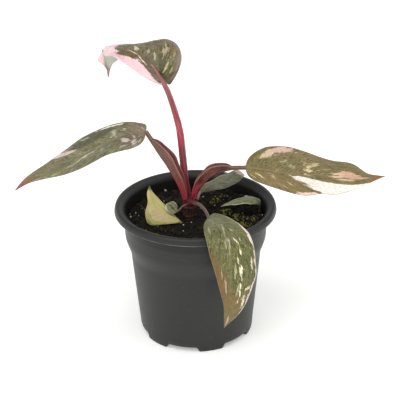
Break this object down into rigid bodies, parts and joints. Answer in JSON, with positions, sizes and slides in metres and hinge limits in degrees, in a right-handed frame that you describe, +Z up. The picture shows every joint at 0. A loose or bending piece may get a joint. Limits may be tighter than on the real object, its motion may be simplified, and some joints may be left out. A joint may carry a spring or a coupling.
{
  "type": "variegated aroid house plant in a nursery pot",
  "caption": "Potted climbing aroid with pointed leaves marbled in olive, cream and pink, on red petioles, in a round black nursery pot with a flared lip and notched feet.",
  "frame": {"origin": "on the floor under the pot's axis, which is also the centre of the whole plant's footprint", "axes": "+Z up along the pot's axis, +X toward the tip of the right-hand leaf, -Y toward the leaf that hangs over the rim"},
  "size_m": [0.2518, 0.1251, 0.1923],
  "materials": {
    "pot": "satin black injection-moulded polypropylene",
    "soil": "damp peat and bark potting mix",
    "stem": "red-brown corky stem bark",
    "petiole_top": "crimson waxy petiole skin",
    "blade_top": "olive leaf with a pink half",
    "petiole_left": "russet petiole with an open sheath",
    "blade_left": "olive leaf with cream flecks",
    "petiole_right": "russet petiole with an open sheath",
    "blade_right": "olive-bronze leaf with a cream sector",
    "petiole_front": "dull pink petiole",
    "blade_front": "green leaf with cream streaks",
    "petiole_back": "pale grey-brown petiole",
    "blade_back": "grey-green young leaf",
    "stalk_arched": "dry brown stalk",
    "blade_arched": "grey-green young leaf with a pale edge",
    "stalk_cream": "green stalk",
    "blade_cream": "cream-yellow leaf without chlorophyll",
    "stalk_round": "pale thread of a stalk",
    "blade_round": "pale green juvenile leaf"
  },
  "bodies": {
    "root": {"pot": "pot", "soil": "soil", "stem": "stem", "petiole_top": "petiole_top", "blade_top": "blade_top", "petiole_left": "petiole_left", "blade_left": "blade_left", "petiole_right": "petiole_right", "blade_right": "blade_right", "petiole_front": "petiole_front", "blade_front": "blade_front", "petiole_back": "petiole_back", "blade_back": "blade_back", "stalk_arched": "stalk_arched", "blade_arched": "blade_arched", "stalk_cream": "stalk_cream", "blade_cream": "blade_cream", "stalk_round": "stalk_round", "blade_round": "blade_round"}
  },
  "joints": []
}
